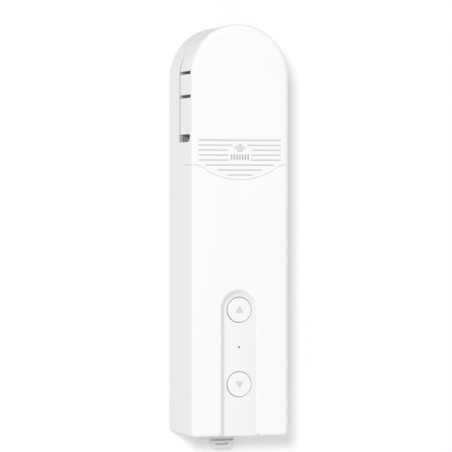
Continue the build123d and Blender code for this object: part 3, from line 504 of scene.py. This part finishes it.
def rear_painted_light(finish, white, place):
    """Painted shade on the rear shell's mating edge beside the cover, fading out towards the round top, where a
    painted highlight line runs along the seam with painted shade further back.
    """
    y, z = place[1:]
    depth = y - FACE_Y
    # Painted shade in the seam between the rear shell and the cover, fading out near the round top
    edge = depth.between(*SEAM_DEPTHS) * (z > COVER_LOW_Z + SEAM_FOOT)
    fade = (z - COVER_TOP_Z).step(*SEAM_FADES)
    # Painted highlight along the seam on the round top, and painted shade further back from it
    high = (z - COVER_TOP_Z).step(*ROUND_TOP)
    painted_line_and_shade = (depth - SEAM_DEPTHS[0]).step(1.0 * MM, 4.0 * MM) * 0.1 - 0.06
    return finish.shaded(white, 1.0 - edge * (1.0 - fade) * 0.44 - high * painted_line_and_shade)


def front_painted_shade(finish, white, place):
    """Painted shade down in the front panel's channel, most on its left side and at its round top."""
    x, y, z = place
    inside = (abs(x) < CHANNEL_HALF) * (y < FACE_Y + CHANNEL_DEPTH)
    depth = (y - FACE_Y).step(0.3 * MM, 1.1 * MM)
    facing = finish.normals()
    # Painted shade: darker with depth in the channel, at its round top and towards its right, and on walls
    # facing right, down or left
    top = (z - KEY_HEIGHTS[0]).step(2.0 * MM, 9.0 * MM) * 0.13
    away = x.step(0.0, 8.0 * MM) * 0.035
    left = (facing[0] * 0.8 - facing[2] * 0.6).step(0.02, 0.45) * (1.0 - depth * 0.5) * 0.19
    right = (facing[0] * -1.0).step(0.0, 0.4) * (depth + 1.0) * 0.03
    return finish.shaded(white, 1.0 - (depth * (top + away + 0.03) + left + right) * inside)


def cover_painted_light(look):
    """The cover has painted shade down in its sunk lines and marks and on its sides near the top, and a painted
    highlight round its top rim.
    """
    def painted_light(finish, white, place):
        x, y, z = place
        height = z - COVER_LOW_Z
        # Painted shade down in the sunk marks, deeper over the short ribs
        marks = (y - FACE_Y).between(*MARK_DEPTHS) * (abs(x) < MARK_HALF) * height.between(*MARK_HEIGHTS)
        ribs = (abs(x) < SHORT_RIB_HALF) * height.between(*SHORT_RIB_HEIGHTS)
        facing = finish.normals()
        # Painted highlight round the top rim, and painted shade on the sides near the top
        painted_rim_highlight = (facing[2] * facing[1] * -2.0).step(0.0, 1.0) * 0.11
        high = (z - COVER_TOP_Z).step(*ROUND_TOP) * (1.0 + facing[1]).step(0.6, 1.0) * 0.03
        white = finish.shaded(white, painted_rim_highlight + 1.0 - high)
        return finish.mixed(marks, white, finish.shaded(look.painted_mark_shade, 1.0 - ribs * 0.24))
    return painted_light


def key_white(look):
    """The keys' smoother white, with painted shade in the sunk triangle, on the lower left edge and down the
    sides below the channel floor.
    """
    finish = Finish("key_white")
    x, y, z = finish.axes()
    depth = y - KEY_FACE_Y
    cloud = finish.noise(60.0, 2.0)
    speck = finish.noise(look.grain * 1.3, 2.0)
    near = [abs(z - height) < 3.0 * MM for height in KEY_HEIGHTS]
    # Painted shade in the sunk triangles
    triangle = depth.between(0.1 * MM, 0.3 * MM) * (abs(x) < 3.0 * MM) * (near[0] + near[1])
    facing = finish.normals()
    # Painted shade on the lower left of the key's rounded edge and down its sides below the channel floor
    lower_left = (facing[0] * -0.75 - facing[2] * 0.65).step(0.1, 0.9)
    foot = depth.step(0.74 * MM, 0.84 * MM) * 0.3
    edge = depth.step(0.1 * MM, 0.4 * MM) * lower_left * 0.25
    white = finish.shaded(look.key_colour, ((cloud - 0.5) * 0.02 + 1.0) * (1.0 - foot) * (1.0 - edge))
    base = finish.mixed(triangle, white, finish.shaded(look.painted_mark_shade, 0.98))
    return finish.surface({"Base Color": base, "Roughness": (speck - 0.5) * 0.08 + 0.36,
                           "Normal": finish.bumped(speck, look.grain_depth * 0.5)})


def lever_clear(look):
    """The lever's cloudy clear plastic, with painted shade down in its finger grooves."""
    finish = Finish("lever_clear")
    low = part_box("release_lever")[0]
    y, z = finish.axes()[1:]
    cloud = finish.noise(400.0, 3.0)
    # Painted shade down in the finger grooves
    groove = (y - low.y).between(0.6 * MM, 1.25 * MM) * (z - low.z).between(1.2 * MM, 5.2 * MM)
    body = finish.shaded(look.lever_colour, (cloud - 0.5) * 0.06 + 1.0)
    base = finish.mixed(groove * 0.5, body, (0.42, 0.44, 0.43))
    speck = finish.noise(2600.0, 2.0)
    return finish.surface({"Base Color": base, "Roughness": (cloud - 0.5) * 0.1 + 0.3,
                           "Transmission Weight": 0.45, "IOR": 1.45,
                           "Normal": finish.bumped(speck, 0.02 * MM)})


def metal(name, colour, roughness, along=(1.0, 1.0, 1.0)):
    """Worked metal: fine lines drawn out along one direction, and a dull bloom here and there."""
    finish = Finish(name)
    lines = finish.noise(900.0, 4.0, 0.65, finish.stretched(*along))
    bloom = finish.noise(120.0, 2.0)
    base = finish.shaded(colour, (lines - 0.5) * 0.16 + (bloom - 0.5) * 0.10 + 1.0)
    return finish.surface({"Base Color": base, "Metallic": 1.0,
                           "Roughness": (lines - 0.5) * 0.18 + (bloom - 0.5) * 0.1 + roughness,
                           "Normal": finish.bumped(lines, 0.008 * MM)})


def grained(name, colour, roughness, grain, depth, metallic=0.0):
    """Sintered or foamed stuff: cells over a cloudy colour."""
    finish = Finish(name)
    cell = finish.cells(grain)
    cloud = finish.noise(grain / 12, 3.0)
    base = finish.shaded(colour, (cell - 0.4) * 0.12 + (cloud - 0.5) * 0.12 + 1.0)
    return finish.surface({"Base Color": base, "Metallic": metallic,
                           "Roughness": (cell - 0.5) * 0.12 + roughness, "Normal": finish.bumped(cell, depth)})


def board_green(look):
    """Solder mask over copper tracks that run up the board."""
    finish = Finish("board_green")
    x, z = finish.axes()[::2]
    track = ((x * 2600.0).wave() * ((z * 900.0).wave() * 0.35 + 1.0)).step(0.55, 0.8)
    cloud = finish.noise(300.0, 3.0)
    base = finish.mixed(track * 0.6, finish.shaded(look.board_colour, (cloud - 0.5) * 0.2 + 1.0),
                        (0.03, 0.16, 0.07))
    return finish.surface({"Base Color": base, "Roughness": cloud * 0.12 + 0.26,
                           "Normal": finish.bumped(track, 0.03 * MM)})


def cell_wrap(look):
    """Shrink wrap that wrinkles a little round a cell."""
    finish = Finish("cell_wrap")
    wrinkle = finish.noise(260.0, 3.0, 0.5, finish.stretched(1.0, 1.0, 0.2))
    base = finish.shaded(look.wrap_colour, (wrinkle - 0.5) * 0.14 + 1.0)
    return finish.surface({"Base Color": base, "Roughness": (wrinkle - 0.5) * 0.1 + 0.26,
                           "Normal": finish.bumped(wrinkle, 0.06 * MM)})


def clear_pin():
    """The light pin's clear plastic."""
    finish = Finish("clear_pin")
    cloud = finish.noise(900.0, 2.0)
    return finish.surface({"Base Color": finish.shaded((0.75, 0.77, 0.78), cloud * 0.05 + 0.97),
                           "Roughness": cloud * 0.1 + 0.12, "Transmission Weight": 0.6})


def dress(material, *names):
    """Give CAD pieces their material."""
    for name in names:
        slots = NODES[name].data.materials
        slots.clear()
        slots.append(material)


# Settings


class ShadeMotorLook(bpy.types.PropertyGroup):
    """Colours and grain of the pieces."""

    case_colour: FloatVectorProperty(name="Case", description="White of the case shells", subtype="COLOR",
                                     default=(0.86, 0.86, 0.865), min=0, max=1)
    key_colour: FloatVectorProperty(name="Keys", description="White of the round keys", subtype="COLOR",
                                    default=(0.85, 0.85, 0.855), min=0, max=1)
    # Painted shade down in the sunk marks of the cover and the keys
    painted_mark_shade: FloatVectorProperty(name="Marks", description="Colour down in the sunk marks", subtype="COLOR",
                                     default=(0.66, 0.66, 0.66), min=0, max=1)
    bracket_colour: FloatVectorProperty(name="Bracket", description="White of the wall bracket",
                                        subtype="COLOR", default=(0.80, 0.80, 0.80), min=0, max=1)
    lever_colour: FloatVectorProperty(name="Lever", description="Clear release lever", subtype="COLOR",
                                      default=(0.90, 0.92, 0.91), min=0, max=1)
    board_colour: FloatVectorProperty(name="Board", description="Solder mask of the board", subtype="COLOR",
                                      default=(0.015, 0.10, 0.045), min=0, max=1)
    wrap_colour: FloatVectorProperty(name="Cells", description="Wrap of the cells", subtype="COLOR",
                                     default=(0.05, 0.20, 0.40), min=0, max=1)
    frame_colour: FloatVectorProperty(name="Gearbox plates", description="Grey of the gearbox plates",
                                      subtype="COLOR", default=(0.36, 0.365, 0.37), min=0, max=1)
    guide_colour: FloatVectorProperty(name="Chain guide", description="Grey of the chain guide",
                                      subtype="COLOR", default=(0.50, 0.505, 0.51), min=0, max=1)
    wheel_colour: FloatVectorProperty(name="Chain wheel", description="Grey of the chain wheel",
                                      subtype="COLOR", default=(0.16, 0.165, 0.17), min=0, max=1)
    gear_colour: FloatVectorProperty(name="Gears", description="Ivory of the gears", subtype="COLOR",
                                     default=(0.72, 0.68, 0.56), min=0, max=1)
    grain: FloatProperty(name="Grain", description="Grains of the moulded surface in a metre", default=5200.0,
                         min=500, max=20000)
    grain_depth: FloatProperty(name="Grain depth", description="Height of the grain", subtype="DISTANCE",
                               unit="LENGTH", default=0.00002, min=0, max=0.0002, precision=6)


class ShadeMotorStage(bpy.types.PropertyGroup):
    """Camera, lights and backdrop."""

    yaw: FloatProperty(name="Yaw", description="How far the camera looks to the right of straight on",
                       subtype="ANGLE", unit="ROTATION", default=math.radians(16.6))
    tilt: FloatProperty(name="Tilt", description="How far the camera looks down", subtype="ANGLE",
                        unit="ROTATION", default=math.radians(0.612))
    camera_place: FloatVectorProperty(name="Camera", description="Where the camera stands", subtype="XYZ",
                                      unit="LENGTH", default=(-0.38438, -1.30705, 0.0014))
    lens: FloatProperty(name="Lens", description="Focal length in millimetres", default=228.2, min=20, max=400)
    key_bearing: FloatProperty(name="Key bearing", description="Key light's bearing to the left of the front",
                               subtype="ANGLE", unit="ROTATION", default=math.radians(20.7))
    key_rise: FloatProperty(name="Key rise", description="Key light's angle above the object",
                            subtype="ANGLE", unit="ROTATION", default=math.radians(8.2))
    key_distance: FloatProperty(name="Key distance", description="Key light's distance", subtype="DISTANCE",
                                unit="LENGTH", default=1.6, min=0.5, max=5)
    key_size: FloatProperty(name="Key size", description="Width of the key light", subtype="DISTANCE",
                            unit="LENGTH", default=0.24, min=0.05, max=2)
    key_power: FloatProperty(name="Key power", description="Key light's power in watts", subtype="POWER",
                             unit="POWER", default=10.0, min=0, max=100)
    sky: FloatProperty(name="Sky", description="Strength of the even light from all round", default=0.835,
                       min=0, max=3)
    sky_lean: FloatVectorProperty(name="Sky lean", description="Which way the even light grows, and how much",
                                  subtype="XYZ", default=(-0.02, 0.13, -0.18))
    floor_drop: FloatProperty(name="Floor drop", description="Floor's distance below the object",
                              subtype="DISTANCE", unit="LENGTH", default=0.35, min=0.1, max=2)


# Operators


class SHADE_OT_case(bpy.types.Operator):
    """Give the case shells, the keys and the light pin their plastics"""
    bl_idname = "shade.case"
    bl_label = "Case and keys"

    def execute(self, context):
        look = context.scene.shade_look
        dress(shell_white(look, "rear_white", rear_painted_light), "rear_housing")
        dress(shell_white(look, "front_white", front_painted_shade), "front_panel")
        dress(shell_white(look, "cover_white", cover_painted_light(look)), "top_cover")
        dress(key_white(look), "up_button", "down_button")
        dress(clear_pin(), "light_pipe")
        dress(moulded("key_silicone", (0.16, 0.165, 0.17), roughness=0.62, grain=3000.0), "button_pad")
        return {"FINISHED"}


class SHADE_OT_holding(bpy.types.Operator):
    """Give the bracket, its tape pads and the release lever their finishes"""
    bl_idname = "shade.holding"
    bl_label = "Bracket and lever"

    def execute(self, context):
        look = context.scene.shade_look
        dress(moulded("bracket_white", look.bracket_colour, roughness=0.55, grain=2600.0, depth=0.04 * MM),
              "wall_bracket")
        dress(grained("foam_tape", (0.78, 0.78, 0.76), roughness=0.85, grain=1800.0, depth=0.1 * MM),
              "adhesive_pads")
        dress(lever_clear(look), "release_lever")
        dress(metal("pin_steel", (0.55, 0.56, 0.57), roughness=0.28, along=(0.05, 1.0, 1.0)), "lever_pin",
              "lever_spring")
        return {"FINISHED"}


class SHADE_OT_electronics(bpy.types.Operator):
    """Give the board, its parts and the cells their finishes"""
    bl_idname = "shade.electronics"
    bl_label = "Board and cells"

    def execute(self, context):
        look = context.scene.shade_look
        dress(board_green(look), "main_board")
        dress(moulded("part_black", (0.03, 0.03, 0.033), roughness=0.45, grain=4000.0), "tact_switches",
              "drive_chip", "motor_end_cap")
        dress(metal("tinned_sheet", (0.70, 0.70, 0.72), roughness=0.34, along=(0.1, 1.0, 1.0)),
              "radio_module", "usb_port")
        dress(moulded("lamp_body", (0.85, 0.85, 0.80), roughness=0.3, grain=6000.0), "status_led")
        dress(cell_wrap(look), "battery_cells")
        dress(metal("nickel_strip", (0.72, 0.70, 0.66), roughness=0.22, along=(0.1, 1.0, 1.0)),
              "battery_contacts")
        dress(moulded("holder_black", (0.05, 0.052, 0.055), roughness=0.5, grain=2600.0, depth=0.04 * MM),
              "battery_holder")
        return {"FINISHED"}


class SHADE_OT_screws(bpy.types.Operator):
    """Grow the screws of the gearbox, the motor and the case"""
    bl_idname = "shade.screws"
    bl_label = "Screws"

    def execute(self, context):
        steel = metal("screw_steel", (0.50, 0.51, 0.52), roughness=0.32)
        plan = screw_plan()
        front, rear = math.radians(90), math.radians(-90)
        # The four sizes are the shank's radius and length and the head's radius and height, in millimetres
        for node, points, facing, sizes, seed in (
                ("gearbox_screws", GEARBOX_SCREWS, front, (1.0, 10.0, 1.9, 1.3), 3),
                ("motor_screws", MOTOR_SCREWS, rear, (1.0, 2.4, 1.9, 1.2), 5),
                ("case_screws", CASE_SCREWS, rear, (1.2, 12.6, 2.1, 1.6), 8)):
            shank, length, head, height = (size * MM for size in sizes)
            values = {"Shank radius": shank, "Shank length": length, "Head radius": head, "Head height": height,
                      "Recess": height * 0.4, "Facing": facing, "Seed": seed, "Material": steel}
            piece = tidied(grown(node + "_grown", plan, values, [in_frame(*point) for point in points]))
            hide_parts(node)
            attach(piece, "housing")
        return {"FINISHED"}


class SHADE_OT_wheel(bpy.types.Operator):
    """Grow the chain wheel with its bead pockets"""
    bl_idname = "shade.wheel"
    bl_label = "Chain wheel"

    def execute(self, context):
        colour = context.scene.shade_look.wheel_colour
        values = {"Material": moulded("wheel_grey", colour, roughness=0.38, grain=3400.0)}
        piece = tidied(grown("chain_wheel_grown", wheel_plan(), values, [(0.0, 0.0, 0.0)], soften=0.12 * MM))
        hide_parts("chain_wheel")
        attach(piece, "wheel")
        return {"FINISHED"}


class SHADE_OT_ribs(bpy.types.Operator):
    """Grow the stiffening ribs on the gearbox plate behind the chain wheel"""
    bl_idname = "shade.ribs"
    bl_label = "Plate ribs"

    def execute(self, context):
        grey = bpy.data.materials.get("frame_grey")
        if grey is None:
            raise RuntimeError("the motor and gears step comes first, because it makes the plates' grey")
        foot = (WHEEL_CENTRE.x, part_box("chain_guide")[1].y + 0.2 * MM, WHEEL_CENTRE.z)
        piece = tidied(grown("plate_ribs", rib_plan(), {"Material": grey}, [foot]))
        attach(piece, "housing")
        return {"FINISHED"}


class SHADE_OT_drive(bpy.types.Operator):
    """Give the motor and the gears their finishes"""
    bl_idname = "shade.drive"
    bl_label = "Motor and gears"

    def execute(self, context):
        look = context.scene.shade_look
        dress(metal("can_steel", (0.60, 0.61, 0.62), roughness=0.30, along=(1.0, 0.05, 1.0)), "motor_can",
              "motor_plate")
        dress(metal("shaft_steel", (0.58, 0.59, 0.60), roughness=0.22, along=(1.0, 0.05, 1.0)),
              "motor_shaft", "output_shaft", "gear_pins")
        dress(metal("clip_steel", (0.50, 0.51, 0.52), roughness=0.32), "wheel_clip")
        dress(grained("ferrite", (0.035, 0.035, 0.04), roughness=0.55, grain=2400.0, depth=0.03 * MM),
              "motor_magnets")
        dress(metal("core_iron", (0.32, 0.31, 0.30), roughness=0.45, along=(0.2, 3.0, 0.2)), "motor_armature")
        dress(metal("pinion_brass", (0.70, 0.50, 0.20), roughness=0.25), "motor_pinion")
        dress(grained("bush_bronze", (0.45, 0.27, 0.12), roughness=0.42, grain=5200.0, depth=0.02 * MM,
                      metallic=0.9), "shaft_bushes")
        dress(moulded("gear_ivory", look.gear_colour, roughness=0.34, grain=3400.0), "first_gear",
              "second_gear", "output_gear")
        dress(moulded("frame_grey", look.frame_colour, roughness=0.5, grain=2600.0, depth=0.04 * MM),
              "gearbox_front_plate", "gearbox_rear_plate")
        dress(moulded("guide_grey", look.guide_colour, roughness=0.45, grain=2600.0, depth=0.03 * MM),
              "chain_guide")
        return {"FINISHED"}


def sheet_material(name, colour):
    """Plain matt backdrop paper with a faint tooth, clear from behind so that it never hides the object."""
    finish = Finish(name)
    tooth = finish.noise(700.0, 3.0)
    shader = finish.node("ShaderNodeBsdfPrincipled", None, {
        "Base Color": finish.shaded(colour, (tooth - 0.5) * 0.01 + 1.0), "Roughness": 0.9})
    clear = finish.node("ShaderNodeBsdfTransparent")
    back = finish.node("ShaderNodeNewGeometry").outputs["Backfacing"]
    sides = finish.node("ShaderNodeMixShader", None, {0: back, 1: shader.outputs[0], 2: clear.outputs[0]})
    finish.node("ShaderNodeOutputMaterial", None, {0: sides.outputs[0]})
    return finish.material


def backdrop(name, corners, material):
    """One flat sheet of the stage, facing the way its corners turn."""
    mesh = bpy.data.meshes.new(name)
    mesh.from_pydata(corners, [], [(0, 1, 2, 3)])
    sheet = bpy.data.objects.new(name, mesh)
    bpy.context.scene.collection.objects.link(sheet)
    mesh.materials.append(material)
    return sheet


class SHADE_OT_stage(bpy.types.Operator):
    """Set up the wall, the floor, the soft light and the camera"""
    bl_idname = "shade.stage"
    bl_label = "Stage"

    def execute(self, context):
        stage = context.scene.shade_stage
        half, behind = 2.5, 0.2 * MM
        floor_z = CAD_BOX[0].z - stage.floor_drop
        wall = backdrop("wall_sheet", [(-half, behind, floor_z), (half, behind, floor_z), (half, behind, half),
                                       (-half, behind, half)],
                        sheet_material("wall_paper", (0.95, 0.95, 0.95)))
        floor = backdrop("floor_sheet", [(-half, -half, floor_z), (half, -half, floor_z), (half, half, floor_z),
                                         (-half, half, floor_z)],
                         sheet_material("floor_paper", (0.9, 0.9, 0.9)))
        floor.visible_diffuse = False
        for ray in ("shadow", "diffuse", "glossy", "transmission"):
            setattr(wall, "visible_" + ray, False)
        self.light(stage)
        self.sky(context.scene, stage)
        self.camera(context.scene, stage)
        context.scene.view_settings.view_transform = "Standard"
        return {"FINISHED"}

    def light(self, stage):
        """Soft key light from the upper left front."""
        flat = math.cos(stage.key_rise)
        way = Vector((-math.sin(stage.key_bearing) * flat, -math.cos(stage.key_bearing) * flat,
                      math.sin(stage.key_rise)))
        data = bpy.data.lights.new("key_light", "AREA")
        data.shape = "DISK"
        data.size = stage.key_size
        data.energy = stage.key_power
        lamp = bpy.data.objects.new("key_light", data)
        lamp.location = way * stage.key_distance
        lamp.rotation_euler = way.to_track_quat("Z", "Y").to_euler()
        lamp.visible_camera = False
        bpy.context.scene.collection.objects.link(lamp)

    def sky(self, scene, stage):
        """Even light from all round."""
        world = bpy.data.worlds.new("even_sky")
        world.use_nodes = True
        world.node_tree.nodes.clear()
        tree = Tree(world.node_tree)
        way = tree.node("ShaderNodeTexCoord").outputs["Generated"]
        lean = tree.node("ShaderNodeVectorMath", {"operation": "DOT_PRODUCT"}, {0: way, 1: stage.sky_lean})
        strength = tree.number(lean.outputs["Value"]) + stage.sky
        glow = tree.node("ShaderNodeBackground", None, {"Color": (1.0, 1.0, 1.0, 1.0), "Strength": strength})
        tree.node("ShaderNodeOutputWorld", None, {0: glow.outputs[0]})
        scene.world = world

    def camera(self, scene, stage):
        """The photograph's camera."""
        data = bpy.data.cameras.new("photo_camera")
        data.lens = stage.lens
        data.sensor_width = 36.0
        data.clip_start = 0.05
        camera = bpy.data.objects.new("photo_camera", data)
        camera.location = stage.camera_place
        camera.rotation_euler = (math.radians(90) - stage.tilt, 0.0, -stage.yaw)
        scene.collection.objects.link(camera)
        scene.camera = camera


class SHADE_PT_panel(bpy.types.Panel):
    """Lists the steps and their settings"""
    bl_label = "Shade Motor"
    bl_idname = "SHADE_PT_panel"
    bl_space_type = "VIEW_3D"
    bl_region_type = "UI"
    bl_category = "Shade Motor"

    def draw(self, context):
        for step in STEPS:
            self.layout.operator(step.bl_idname)
        for settings in (context.scene.shade_look, context.scene.shade_stage):
            box = self.layout.box()
            for name in settings.bl_rna.properties.keys():
                if name not in ("rna_type", "name"):
                    box.prop(settings, name)


STEPS = (SHADE_OT_case, SHADE_OT_holding, SHADE_OT_electronics, SHADE_OT_drive, SHADE_OT_screws, SHADE_OT_wheel,
         SHADE_OT_ribs, SHADE_OT_stage)
CLASSES = (ShadeMotorLook, ShadeMotorStage, *STEPS, SHADE_PT_panel)


def register():
    """Register every class and the two groups of settings."""
    for each in CLASSES:
        bpy.utils.register_class(each)
    bpy.types.Scene.shade_look = PointerProperty(type=ShadeMotorLook)
    bpy.types.Scene.shade_stage = PointerProperty(type=ShadeMotorStage)


def unregister():
    """Take off again what register puts in."""
    del bpy.types.Scene.shade_stage
    del bpy.types.Scene.shade_look
    for each in reversed(CLASSES):
        bpy.utils.unregister_class(each)


def main():
    """Run every step in order."""
    register()
    for step in STEPS:
        group, name = step.bl_idname.split(".")
        getattr(getattr(bpy.ops, group), name)()


if __name__ == "__main__":
    main()
